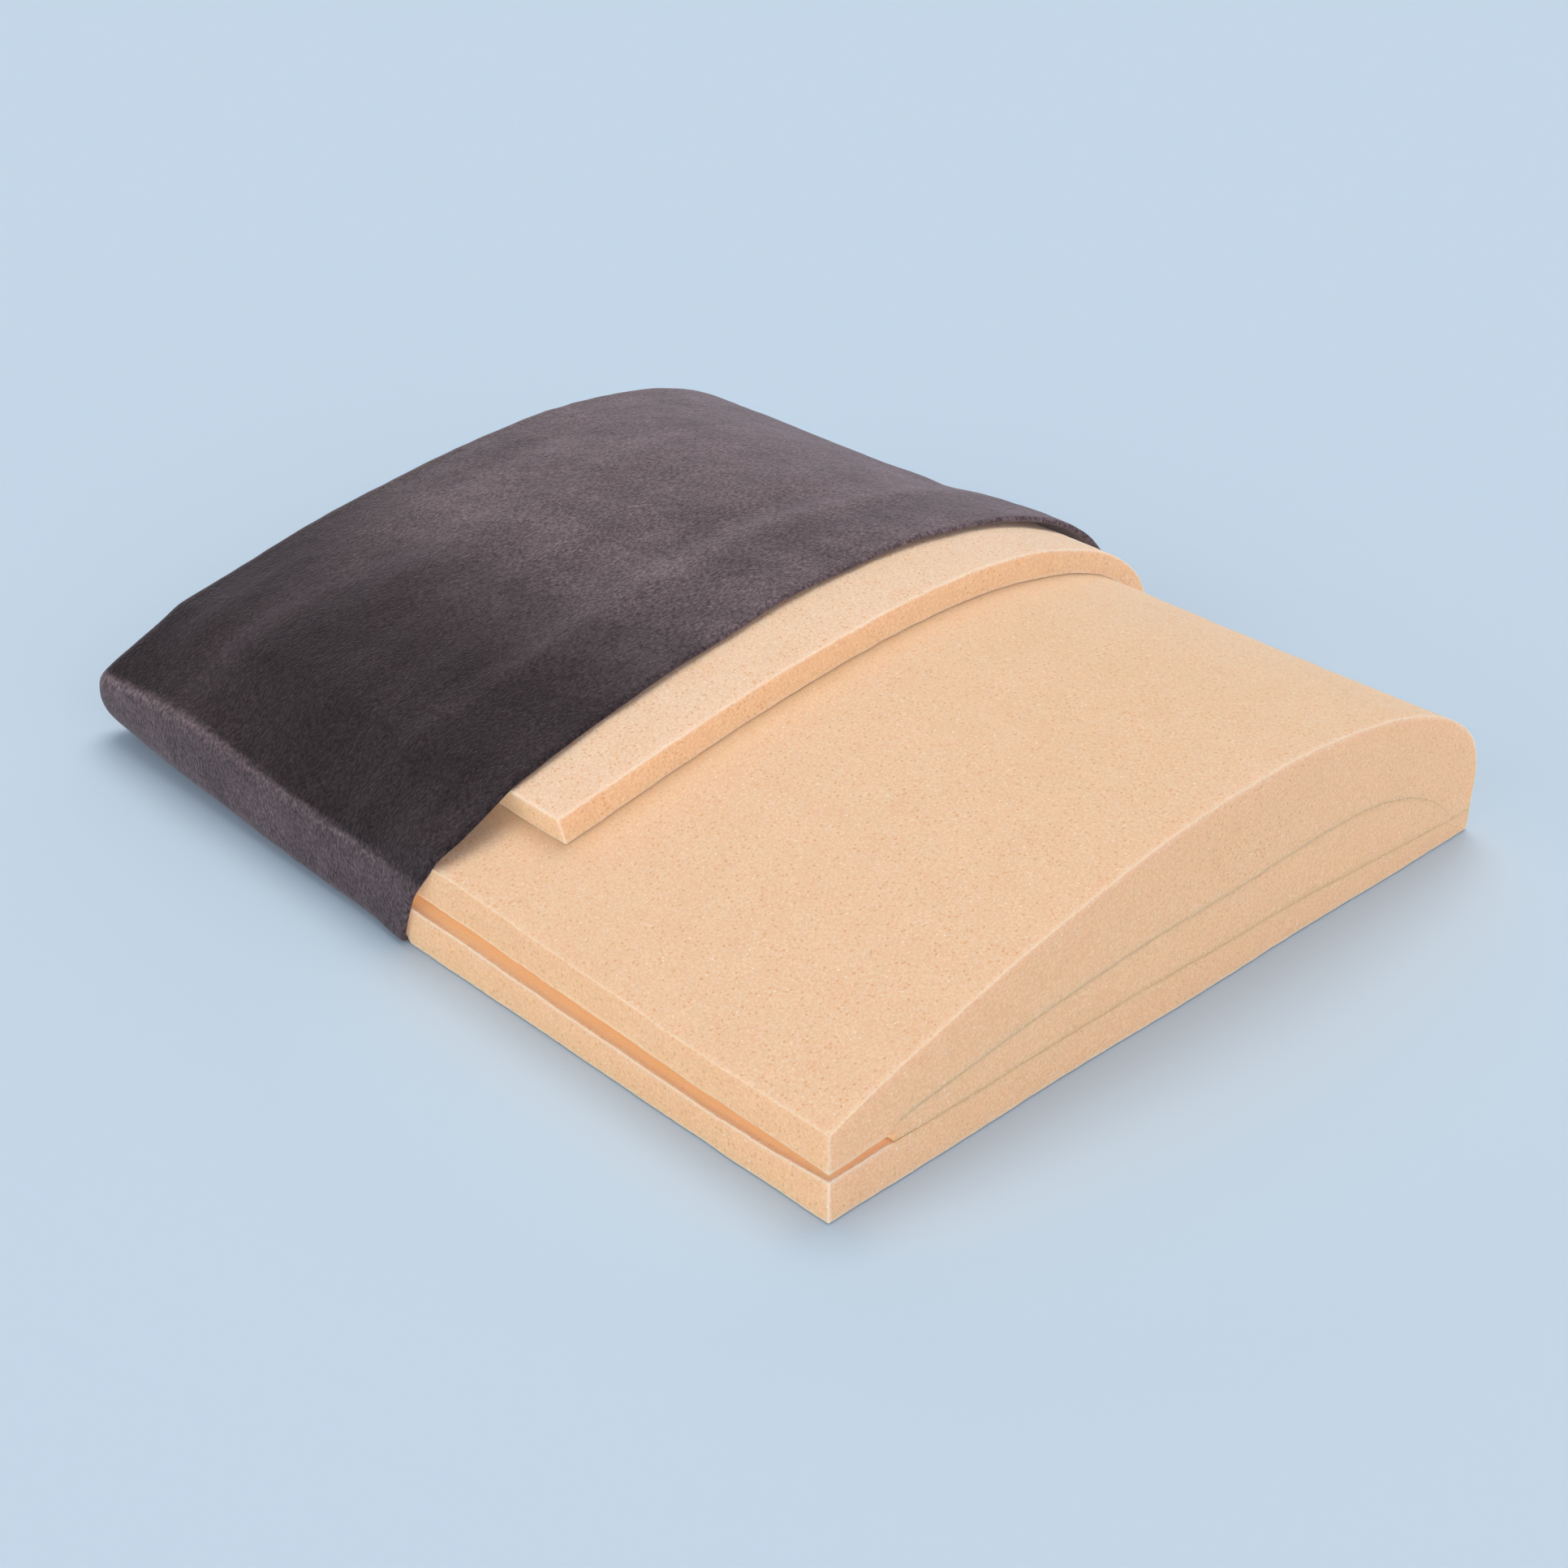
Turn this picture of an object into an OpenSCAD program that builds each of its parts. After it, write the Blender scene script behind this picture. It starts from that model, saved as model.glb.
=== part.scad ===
// Contoured foam back-support cushion, lying flat, with its cover drawn half off.
// A flat base sheet, a wedge and a domed block are bonded into one core, a soft topper
// pad lies along the curve, and a plush sleeve cover closed by a zip covers one half.
// Millimetres. The row frame has its origin under the middle of the bounding box:
// +X towards the bare end of the foam, +Y towards the thick edge, +Z up.

/* [Foam core] */
// Length of the core, from its covered end to its bare end
core_l = 486; // [440:1:520]
// Width of the core, from its thin edge to its thick edge
core_w = 400; // [390:1:410]
// Height of the core at its thin edge
thin_h = 39; // [36:1:42]
// Height of the core at its crown
crown_h = 91; // [86:1:96]
// Distance of the crown from the thin edge
crown_y = 250; // [240:1:260]
// Height at which the rounded thick edge turns into an upright wall
wall_h = 28; // [26:1:30]
// Thickness of the flat base sheet
base_t = 19; // [17:0.5:20]
// Thickness of the base sheet where the thick edge presses it down
base_far_t = 10.5; // [9:0.5:12]
// Height of the open slit between base sheet and block, at the thin edge
slit_h = 4; // [3:0.5:5]

/* [Wedge insert] */
// Distance of the wedge's blunt nose from the thin edge
nose_y = 33; // [30:1:36]
// Height of the nose's top edge
nose_h = 26; // [25:0.5:27]
// Height of the wedge at its thickest
wedge_h = 45; // [42:1:47]
// Distance of the wedge's heel from the thin edge
heel_y = 386; // [382:1:388]

/* [Topper pad] */
// Thickness of the topper pad
topper_t = 14; // [12:1:15]
// Distance of its cut end from the bare end of the core
topper_x = 194; // [185:1:205]
// Distance of its hidden end from the bare end of the core
topper_end_x = 440; // [430:1:445]
// Distance of its near edge from the thin edge
topper_y = 40; // [36:1:44]
// Height at which it stops on the thick edge's wall
topper_foot_h = 22; // [21.5:0.5:24]

/* [Cover] */
// Thickness of the plush fabric with its pile
fabric_t = 2; // [1.5:0.1:2]
// Distance of the cover's mouth from the bare end, over the crown
mouth_x = 227; // [220:1:235]
// Distance of the mouth from the bare end, at the sides and underneath
mouth_side_x = 250; // [245:1:255]
// Width of the fabric turned in at the mouth
turn_in_w = 55; // [45:1:60]
// Height of the near side, where the fabric squeezes the thin edge down
squeezed_h = 36; // [35:0.5:37]
// How far the closed end is drawn in at the thin edge
draw_in = 2; // [1:0.5:4]

/* [Zip] */
// Height of the zip across the closed end
zip_z = 24; // [22:0.5:26]
// Pitch of the teeth on one tape
tooth_pitch = 3; // [2.8:0.1:3.2]
// Distance from the thin edge to the slider when the zip is closed
slider_y = 56; // [54:1:60]
// Length of the slider
slider_l = 12; // [10:0.5:13]
// Length of the pull tab
pull_l = 21; // [18:0.5:24]

/* [Hidden] */
$fn = 48;

// Colours
foam_colour = [0.94, 0.76, 0.57];
topper_colour = [0.95, 0.78, 0.60];
cover_colour = [0.24, 0.22, 0.24];
tape_colour = [0.19, 0.18, 0.20];
metal_colour = [0.42, 0.42, 0.45];
label_colour = [0.90, 0.90, 0.88];

// Room between bodies, and the fabric layers that the core gives way to at the mouth
gap = 0.4;
relief = 2 * fabric_t + gap;

// Height of the cover over the core's curve: over the turned-in mouth, over the
// topper behind it, and past the topper at the closed end
lift_mouth = topper_t + 2 * fabric_t + 0.5;
lift_body = topper_t + fabric_t + 0.5;
lift_end = fabric_t + 1;

// The closed end: inner face of the end panels, then their outer face
end_room = 5;
end_in = core_l + end_room;
end_out = end_in + fabric_t;

// Zip sections, measured from the inner face of the end panels
tape_t = 0.8;
tape_edge = 2.2;
tape_w = 12;
tape_y0 = 32;
tape_y1 = core_w - 20;
teeth_t = 2.4;
teeth_x = end_in - tape_t / 2;
tooth_w = 1.2;
teeth_y0 = slider_y - slider_l / 2 - 1;
tooth_count = floor((tape_y1 - 19 - teeth_y0) / tooth_pitch);
teeth_y1 = teeth_y0 + tooth_count * tooth_pitch;
slot_half = 5;
plate_t = 1.2;
plate_gap = 0.3;
plate_half = 4.4;
plate_x = teeth_x + teeth_t / 2 + plate_gap;
bridge_h = 3.6;
bridge_t = 1;
pin_r = 0.7;
pin_x = plate_x + plate_t + 1.2;

// Overall size
total_l = plate_x + plate_t + bridge_h;
total_w = core_w + lift_mouth;

// ---- curves ----

function bezier(p, t) =
    pow(1 - t, 3) * p[0] + 3 * pow(1 - t, 2) * t * p[1]
    + 3 * (1 - t) * t * t * p[2] + pow(t, 3) * p[3];

function slope(p, t) =
    pow(1 - t, 2) * (p[1] - p[0]) + 2 * (1 - t) * t * (p[2] - p[1])
    + t * t * (p[3] - p[2]);

// A point of the curve, moved out by d along the curve's normal
function off_curve(p, t, d) =
    let (s = slope(p, t)) bezier(p, t) + d / norm(s) * [-s[1], s[0]];

function curve(p, n, d = 0, t0 = 0, t1 = 1) =
    [for (i = [0:n]) off_curve(p, t0 + (t1 - t0) * i / n, d)];

// The parameter at which a rising curve reaches y, by halving
function param_at(p, y, lo = 0, hi = 1, steps = 20) =
    let (mid = (lo + hi) / 2)
    steps == 0 ? mid
    : bezier(p, mid)[0] < y ? param_at(p, y, mid, hi, steps - 1)
    : param_at(p, y, lo, mid, steps - 1);

// The core's top in (y, z): a long rise from the thin edge, then the fall to the wall
rise = [
    [0, thin_h],
    [crown_y * 0.36, thin_h + (crown_h - thin_h) * 0.63],
    [crown_y * 0.72, crown_h],
    [crown_y, crown_h]
];
fall = [
    [crown_y, crown_h],
    [crown_y + (core_w - crown_y) * 0.45, crown_h],
    [core_w, wall_h + (crown_h - wall_h) * 0.7],
    [core_w, wall_h]
];
function on_rise(y) = bezier(rise, param_at(rise, y));
topper_t0 = param_at(rise, topper_y);

// Base sheet's top from its flat stretch down to the wedge's heel
base_dip = [
    [heel_y * 0.44, base_t], [heel_y * 0.6, base_t],
    [heel_y * 0.83, base_t * 0.8], [heel_y, base_far_t]
];
// Wedge's top: up from the nose, along, and down to the heel
wedge_up = [
    [nose_y, nose_h], [nose_y + 27, nose_h + 8],
    [nose_y + 97, wedge_h - 7], [nose_y + 147, wedge_h - 3]
];
wedge_down = [
    [heel_y - 86, wedge_h], [heel_y - 41, wedge_h],
    [heel_y - 14, base_far_t + 18], [heel_y, base_far_t]
];

function reversed(list) = [for (i = [len(list) - 1:-1:0]) list[i]];
wedge_top = concat(curve(wedge_up, 8), curve(wedge_down, 10));

// ---- core ----

// Draws a (y, z) outline along the core, from x0 to x1 back from the bare end
module along_core(x0, x1) {
    translate([-x1, 0, 0]) rotate([90, 0, 90]) linear_extrude(x1 - x0) children();
}

// Plan of the core: full width where bare, slightly drawn in where the cover holds it
module core_plan(h) {
    linear_extrude(h) polygon([
        [0, 0], [-mouth_side_x, 0], [-mouth_side_x, relief],
        [-core_l, relief + draw_in], [-core_l, core_w], [0, core_w]
    ]);
}

module base_sheet() {
    color(foam_colour) difference() {
        intersection() {
            along_core(0, core_l) polygon(concat(
                [[0, 0], [0, base_t]], curve(base_dip, 8), [[core_w, base_far_t], [core_w, 0]]
            ));
            core_plan(base_t);
        }
        translate([-core_l, 0, 0]) cube([core_l - mouth_side_x, core_w, relief]);
    }
}

module wedge_insert() {
    color(foam_colour) along_core(0, core_l) polygon(concat(
        [[nose_y, base_t]], wedge_top, reversed(curve(base_dip, 8))
    ));
}

module contour_block() {
    color(foam_colour) difference() {
        intersection() {
            along_core(0, core_l) polygon(concat(
                [[0, base_t + slit_h]], curve(rise, 3, 0, 0, topper_t0),
                curve(rise, 14, 0, topper_t0), curve(fall, 18),
                [[core_w, base_far_t]], reversed(wedge_top)
            ));
            core_plan(crown_h);
        }
        squeezed_edge();
    }
}

// What the cover presses away from the block's thin edge: above a line that starts on
// the drawn-in near face and meets the block's own curve. It takes nothing at the mouth,
// most where the turned-in fabric ends, and less but further up at the closed end
module squeezed_edge() {
    module above(x, foot, reach) {
        fade = (reach[1] - foot[1]) / (reach[0] - foot[0]);
        along_core(x, x + 1) polygon([
            [-1, foot[1] - fade * (foot[0] + 1)], reach, [reach[0], crown_h], [-1, crown_h]
        ]);
    }
    module band_cut()
        above(band_end, [relief + near_in(band_end), squeezed_h - 5], on_rise(bare_edge_y));
    hull() {
        above(mouth_side_x, on_rise(relief), on_rise(bare_edge_y));
        band_cut();
    }
    hull() {
        band_cut();
        above(core_l, [relief + draw_in, squeezed_h - 3.5], on_rise(topper_y));
    }
}

module topper_pad() {
    color(topper_colour) along_core(topper_x, topper_end_x) polygon(concat(
        curve(rise, 14, 0, topper_t0), curve(fall, 18),
        [[core_w, topper_foot_h], [core_w + topper_t, topper_foot_h]],
        reversed(curve(fall, 18, topper_t)), reversed(curve(rise, 14, topper_t, topper_t0))
    ));
}

// ---- cover fabric ----

// How far the near side is drawn in, x back from the bare end
function near_in(x) = draw_in * max(0, x - mouth_side_x) / (end_out - mouth_side_x);

// Height over the core's curve, x back from the bare end
band_end = mouth_x + turn_in_w;
function lift(x) =
    x <= band_end + 6 ? lookup(x, [[band_end, lift_mouth], [band_end + 6, lift_body]])
    : lookup(x, [[topper_end_x, lift_body], [topper_end_x + 36, lift_end]]);

// The four strips of the sleeve as (y, z) rows at x, d fabric layers below the surface
foot_turn_h = 20;
function side_h(x) = lookup(x, [[mouth_side_x, thin_h + 8], [band_end, squeezed_h]]);
function near_top(x, d) = [near_in(x) + d * fabric_t, side_h(x) - 1.2 * d * fabric_t];
function near_foot(x, d) = [near_in(x) + d * fabric_t, d * fabric_t];
function far_foot(x, d) = [
    core_w + fabric_t + 0.8 + (lift(x) - lift_end) / 4 - d * fabric_t, d * fabric_t
];
function near_row(x, d) = [near_foot(x, d), near_top(x, d)];
function top_row(x, d) = let (
        edge = near_top(x, d),
        over_rise = curve(rise, 14, lift(x) - d * fabric_t, topper_t0)
    ) concat([edge, (edge + over_rise[0]) / 2], over_rise, curve(fall, 18, lift(x) - d * fabric_t));
function far_row(x, d) = [
    [core_w + lift(x) - d * fabric_t, wall_h],
    [core_w + lift(x) - d * fabric_t, foot_turn_h], far_foot(x, d)
];
function under_row(x, d) = [far_foot(x, d), near_foot(x, d)];

// The mouth slants back from the crown to both sides
bare_edge_y = 17.5;
function mouth_at(y) = lookup(y, [[bare_edge_y, mouth_side_x], [topper_y, mouth_x]]);
function far_mouth_at(z) = lookup(z, [[0, mouth_side_x], [foot_turn_h, mouth_x]]);

stations = [band_end, band_end + 6, topper_end_x, topper_end_x + 36, end_in, end_out];

// Stations of the near and under strips, whose mouth is further back
side_stations = [for (x = stations) if (x > mouth_side_x) x];

function row_at(x, row) = [for (p = row) [-x, p[0], p[1]]];
function rows(kind, d, xs) = [
    for (x = xs) row_at(x,
        kind == "near" ? near_row(x, d)
        : kind == "top" ? top_row(x, d)
        : kind == "far" ? far_row(x, d) : under_row(x, d))
];
// The first row of each strip, along the mouth. Every layer stops at the same line
function mouth_row(kind, d) =
    kind == "near" ? row_at(mouth_side_x, near_row(mouth_side_x, d))
    : kind == "under" ? row_at(mouth_side_x, under_row(mouth_x, d))
    : kind == "top" ? let (row = top_row(mouth_x, d), edge = top_row(mouth_x, 0))
        [for (i = [0:len(row) - 1]) [-mouth_at(edge[i][0]), row[i][0], row[i][1]]]
    : let (row = far_row(mouth_x, d), edge = far_row(mouth_x, 0))
        [for (i = [0:len(row) - 1]) [-far_mouth_at(edge[i][1]), row[i][0], row[i][1]]];

// A closed solid between two grids of points, the outer and the inner face of a cloth
module cloth(outer, inner) {
    r = len(outer);
    c = len(outer[0]);
    n = r * c;
    faces = concat(
        [for (i = [0:r - 2], j = [0:c - 2]) each let (a = i * c + j) [
            [a, a + c + 1, a + 1], [a, a + c, a + c + 1],
            [n + a, n + a + 1, n + a + c + 1], [n + a, n + a + c + 1, n + a + c]
        ]],
        [for (j = [0:c - 2]) each let (a = j, b = (r - 1) * c + j) [
            [a, a + 1, n + a], [a + 1, n + a + 1, n + a],
            [b + 1, b, n + b + 1], [b, n + b, n + b + 1]
        ]],
        [for (i = [0:r - 2]) each let (a = i * c, b = i * c + c - 1) [
            [a + c, a, n + a + c], [a, n + a, n + a + c],
            [b, b + c, n + b], [b + c, n + b + c, n + b]
        ]]
    );
    polyhedron(concat([for (row = outer) each row], [for (row = inner) each row]), faces);
}

module strip(kind) {
    xs = kind == "near" || kind == "under" ? side_stations : stations;
    color(cover_colour) cloth(
        concat([mouth_row(kind, 0)], rows(kind, 0, xs)),
        concat([mouth_row(kind, 1)], rows(kind, 1, xs))
    );
}

module top_panel() strip("top");
module near_side_panel() strip("near");
module far_side_panel() strip("far");
module underside_panel() strip("under");

// The turned-in fabric: a second layer behind the first all round the mouth
module mouth_turn_in() {
    color(cover_colour) for (kind = ["near", "top", "far", "under"]) cloth(
        concat([mouth_row(kind, 1)], rows(kind, 1, [band_end])),
        concat([mouth_row(kind, 2)], rows(kind, 2, [band_end]))
    );
}

// The closed end fills the sleeve's inner outline, above or below the zip
module end_panel(z0, z1) {
    color(cover_colour) intersection() {
        along_core(end_in, end_out) polygon(concat(
            near_row(end_in, 1), top_row(end_in, 1), far_row(end_in, 1)
        ));
        translate([-end_out - 1, 0, z0]) cube([fabric_t + 2, total_w, z1 - z0]);
    }
}
module end_panel_upper() end_panel(zip_z + slot_half, crown_h + lift_mouth);
module end_panel_lower() end_panel(0, zip_z - slot_half);

// ---- zip, across the closed end ----

// side is 1 for the upper tape and -1 for the lower
module tape(side) {
    color(tape_colour) translate([-end_in, tape_y0, zip_z]) mirror([0, 0, side > 0 ? 0 : 1])
        translate([0, 0, tape_edge]) cube([tape_t, tape_y1 - tape_y0, tape_w]);
}
module zip_tape_upper() tape(1);
module zip_tape_lower() tape(-1);

// A comb of teeth on a spine, as a (y, z) outline that reaches past the centre line.
// phase is how far along its pitch the first tooth starts, so that two combs interlock
module comb(phase) {
    spine_z = tape_edge - 1;
    tip_z = -spine_z + 0.2;
    along_core(teeth_x - teeth_t / 2, teeth_x + teeth_t / 2) polygon(concat(
        [[0, tape_edge], [0, spine_z]],
        [for (i = [0:tooth_count - 1], k = [0:3]) [
            (i + phase) * tooth_pitch + (k < 2 ? 0 : tooth_w),
            k == 0 || k == 3 ? spine_z : tip_z
        ]],
        [[tooth_count * tooth_pitch, spine_z], [tooth_count * tooth_pitch, tape_edge]]
    ));
}
module zip_teeth_upper() color(metal_colour) translate([0, teeth_y0, zip_z]) comb(0.05);
module zip_teeth_lower() color(metal_colour)
    translate([0, teeth_y0, zip_z]) mirror([0, 0, 1]) comb(0.55);

module stop_block(y, z0, z1) {
    color(metal_colour) translate([-teeth_x - teeth_t / 2, y, zip_z + z0])
        cube([teeth_t, 3, z1 - z0]);
}
module zip_top_stops() {
    stop_block(teeth_y0 - 3.5, 0.4, tape_edge);
    stop_block(teeth_y0 - 3.5, -tape_edge, -0.4);
}
module zip_bottom_stop() stop_block(teeth_y1 + 0.5, -tape_edge, tape_edge);

module end_tab(y0, y1) {
    color(cover_colour) translate([-end_in - 1.2, y0, zip_z - slot_half + 0.2])
        cube([1.2, y1 - y0, 2 * slot_half - 0.4]);
}
module zip_end_tab_near() end_tab(tape_y0, teeth_y0 - 4.5);
module zip_end_tab_far() end_tab(teeth_y1 + 4.5, tape_y1);

// A plain tag sewn into the lower edge of the far side, standing against it
module care_label() {
    x0 = 330;
    tag_w = 32;
    tag_h = 17;
    y_foot = far_foot(x0, 0)[0];
    lean = atan((core_w + lift_body - y_foot) / foot_turn_h);
    color(label_colour) translate([-x0 - tag_w, y_foot + 0.3, 0.5]) rotate([-lean, 0, 0])
        cube([tag_w, 0.5, tag_h]);
}

// Two plates with turned edges, which run over the teeth, and a bridge for the pull
module zip_slider() {
    color(metal_colour) translate([0, slider_y, zip_z]) {
        for (front = [0, 1]) mirrored_plate(front);
        translate([0, 0, -bridge_t * 0.8]) linear_extrude(bridge_t * 1.6) difference() {
            translate([-total_l, -4]) square([bridge_h, 8]);
            translate([-total_l + bridge_t, -3]) square([bridge_h, 6]);
        }
    }
}
module mirrored_plate(front) {
    x0 = front ? -plate_x - plate_t : -teeth_x + teeth_t / 2 + plate_gap;
    lip_x = front ? -plate_x : x0 - 0.8;
    translate([x0, 0, 0]) rotate([90, 0, 90]) linear_extrude(plate_t) slider_outline();
    for (side = [-1, 1])
        translate([lip_x, -slider_l / 2, side > 0 ? 3.2 : -plate_half])
            cube([0.8, slider_l, plate_half - 3.2]);
}
// Plan of a slider plate, pointed at the end that closes the teeth
module slider_outline() {
    polygon([
        [-slider_l / 2, -plate_half], [slider_l / 2 - 2, -plate_half], [slider_l / 2, -2.4],
        [slider_l / 2, 2.4], [slider_l / 2 - 2, plate_half], [-slider_l / 2, plate_half]
    ]);
}

// A tab on a cross pin, which turns under the slider's bridge
module zip_pull() {
    pull_t = 1.2;
    arm_in = 1.1;
    arm_out = 2.7;
    window_l = 5.4;
    color(metal_colour) translate([-pin_x, slider_y, zip_z]) {
        translate([0, 0, -arm_out]) cylinder(r = pin_r, h = 2 * arm_out);
        translate([-pull_t / 2, 0, 0]) rotate([90, 0, 90]) linear_extrude(pull_t) {
            difference() {
                union() {
                    translate([0, -arm_out]) square([pull_l - 3, 2 * arm_out]);
                    translate([pull_l - 3, 0]) circle(3);
                }
                translate([-1, -arm_in]) square([window_l + 1, 2 * arm_in]);
                translate([pull_l - 3, 0]) circle(1.3);
            }
        }
    }
}

// ---- placing: local x runs back from the bare end, local y from the thin edge ----

module placed() translate([total_l / 2, -total_w / 2, 0]) children();

placed() base_sheet();
placed() wedge_insert();
placed() contour_block();
placed() topper_pad();
placed() top_panel();
placed() near_side_panel();
placed() far_side_panel();
placed() underside_panel();
placed() end_panel_upper();
placed() end_panel_lower();
placed() mouth_turn_in();
placed() zip_tape_upper();
placed() zip_tape_lower();
placed() zip_teeth_upper();
placed() zip_teeth_lower();
placed() zip_top_stops();
placed() zip_bottom_stop();
placed() zip_end_tab_near();
placed() zip_end_tab_far();
placed() care_label();
placed() zip_slider();
placed() zip_pull();
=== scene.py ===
"""Looks for the contoured back cushion: foam core, topper pad, plush cover drawn half off.

Local millimetres: s runs back from the bare end of the foam, y from the thin edge, z up.
"""
import math

import bmesh
import bpy
import numpy as np
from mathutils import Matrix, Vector


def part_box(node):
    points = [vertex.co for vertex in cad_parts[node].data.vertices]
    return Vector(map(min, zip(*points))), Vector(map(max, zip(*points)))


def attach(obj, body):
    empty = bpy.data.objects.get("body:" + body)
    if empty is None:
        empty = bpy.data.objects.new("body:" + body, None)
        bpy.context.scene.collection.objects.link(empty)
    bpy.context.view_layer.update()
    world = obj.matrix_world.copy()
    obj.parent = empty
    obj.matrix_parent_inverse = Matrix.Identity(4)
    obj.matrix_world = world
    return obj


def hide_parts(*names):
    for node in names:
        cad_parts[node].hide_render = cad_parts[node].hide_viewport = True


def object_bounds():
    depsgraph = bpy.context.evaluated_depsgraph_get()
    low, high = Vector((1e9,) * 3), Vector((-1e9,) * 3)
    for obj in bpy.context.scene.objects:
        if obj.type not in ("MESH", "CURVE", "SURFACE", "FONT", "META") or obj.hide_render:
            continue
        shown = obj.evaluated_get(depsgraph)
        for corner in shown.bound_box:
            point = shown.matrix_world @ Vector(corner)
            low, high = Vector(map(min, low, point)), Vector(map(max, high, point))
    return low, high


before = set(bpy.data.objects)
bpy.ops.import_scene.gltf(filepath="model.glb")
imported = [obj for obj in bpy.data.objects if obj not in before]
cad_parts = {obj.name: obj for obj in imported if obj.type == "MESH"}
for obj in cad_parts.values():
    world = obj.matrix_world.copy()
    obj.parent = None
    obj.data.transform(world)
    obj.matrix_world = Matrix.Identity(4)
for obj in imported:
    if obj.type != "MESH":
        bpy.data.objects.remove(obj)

CAD_BOX = [list(corner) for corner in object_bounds()]
MM = 0.001


def box_mm(node):
    """A CAD node's lowest and highest corners, in millimetres."""
    low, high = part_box(node)
    return np.array(low) / MM, np.array(high) / MM


# ---- the frame, measured from the CAD nodes ----

BASE_LOW, BASE_HIGH = box_mm("base_sheet")
TOPPER_LOW, TOPPER_HIGH = box_mm("topper_pad")
COVER_LOW, COVER_HIGH = box_mm("top_panel")
BARE_X = BASE_HIGH[0]
THIN_Y = BASE_LOW[1]
CORE_L = BASE_HIGH[0] - BASE_LOW[0]
CORE_W = BASE_HIGH[1] - BASE_LOW[1]
CROWN_H = box_mm("contour_block")[1][2]
BASE_T = BASE_HIGH[2]
TOPPER_END = BARE_X - TOPPER_LOW[0]
COVER_END = BARE_X - COVER_LOW[0]
MOUTH = BARE_X - COVER_HIGH[0]
TURN_IN = box_mm("mouth_turn_in")
HEM_END = BARE_X - TURN_IN[0][0]
ZIP_Z = (box_mm("zip_tape_upper")[0][2] + box_mm("zip_tape_lower")[1][2]) / 2
HEEL_Y = box_mm("wedge_insert")[1][1] - THIN_Y
NOSE_Y = box_mm("wedge_insert")[0][1] - THIN_Y


def placed(points):
    """Local (s, y, z) millimetres as metres in the row frame."""
    p = np.asarray(points, dtype=float)
    return np.stack([BARE_X - p[..., 0], THIN_Y + p[..., 1], p[..., 2]], axis=-1) * MM


# ---- curves ----

def bezier(p, n):
    """n + 1 points along a cubic curve."""
    t = np.linspace(0, 1, n + 1)[:, None]
    p = np.array(p, dtype=float)
    return (1 - t) ** 3 * p[0] + 3 * (1 - t) ** 2 * t * p[1] + 3 * (1 - t) * t * t * p[2] + t ** 3 * p[3]


def along(points, n):
    """n points evenly spaced along a polyline."""
    gaps = np.linalg.norm(np.diff(points, axis=0), axis=1)
    where = np.concatenate([[0], np.cumsum(gaps)])
    at = np.linspace(0, where[-1], n)
    return np.stack([np.interp(at, where, points[:, k]) for k in range(points.shape[1])], axis=1)


def smooth_step(x, start, end):
    """0 before start, 1 after end, with a soft change between."""
    t = np.clip((np.asarray(x, dtype=float) - start) / (end - start), 0, 1)
    return t * t * (3 - 2 * t)


def table(x, *pairs):
    """Value at x on a broken line through (x, value) pairs."""
    return np.interp(x, [p[0] for p in pairs], [p[1] for p in pairs])


def ripple(points, wavelength, height, seed):
    """A smooth field of gentle waves, for places that aren't quite flat."""
    rng = np.random.default_rng(seed)
    total = np.zeros(np.asarray(points).shape[:-1])
    count = 14
    for _ in range(count):
        way = rng.normal(size=3)
        way *= 2 * math.pi / wavelength * rng.uniform(0.6, 1.5) / np.linalg.norm(way)
        total += np.sin(np.tensordot(points, way, axes=([-1], [0])) + rng.uniform(0, 2 * math.pi))
    return total * height / math.sqrt(count / 2)


# The core's top: a long rise from the thin edge to the crown, then the fall to the wall
THIN_H = 39
CROWN_Y = 250
WALL_H = 28
RISE = bezier([
    [0, THIN_H], [CROWN_Y * 0.36, THIN_H + (CROWN_H - THIN_H) * 0.63],
    [CROWN_Y * 0.72, CROWN_H], [CROWN_Y, CROWN_H]
], 120)
FALL = bezier([
    [CROWN_Y, CROWN_H], [CROWN_Y + (CORE_W - CROWN_Y) * 0.45, CROWN_H],
    [CORE_W, WALL_H + (CROWN_H - WALL_H) * 0.7], [CORE_W, WALL_H]
], 120)
TOP_CURVE = np.concatenate([RISE, FALL[1:]])
BASE_FAR_T = 10.5
DIP = bezier([
    [HEEL_Y * 0.44, BASE_T], [HEEL_Y * 0.6, BASE_T],
    [HEEL_Y * 0.83, BASE_T * 0.8], [HEEL_Y, BASE_FAR_T]
], 60)
NOSE_H = 26
WEDGE_H = 45
WEDGE_TOP = np.concatenate([
    bezier([[NOSE_Y, NOSE_H], [NOSE_Y + 27, NOSE_H + 8],
            [NOSE_Y + 97, WEDGE_H - 7], [NOSE_Y + 147, WEDGE_H - 3]], 40),
    bezier([[HEEL_Y - 86, WEDGE_H], [HEEL_Y - 41, WEDGE_H],
            [HEEL_Y - 14, BASE_FAR_T + 18], [HEEL_Y, BASE_FAR_T]], 60)
])


# ---- how the core's shape changes along its length ----

def lip_top(s):
    """Height of the block's thin edge: square-cut where bare, held down by the cover."""
    return table(s, (0, 38.6), (80, 38.6), (130, 40.3), (194, 42.6), (236, 42.8), (256, 41),
                 (285, 36), (320, 33.6), (CORE_L, 33))


def lip_bottom(s):
    """Height of the block's underside along the open slit."""
    return table(s, (0, 21.8), (29, 22.2), (69, 22.2), (108, 23.3), (140, 24), (167, 24.6),
                 (250, 25), (300, 22), (CORE_L, 21.6))


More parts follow.
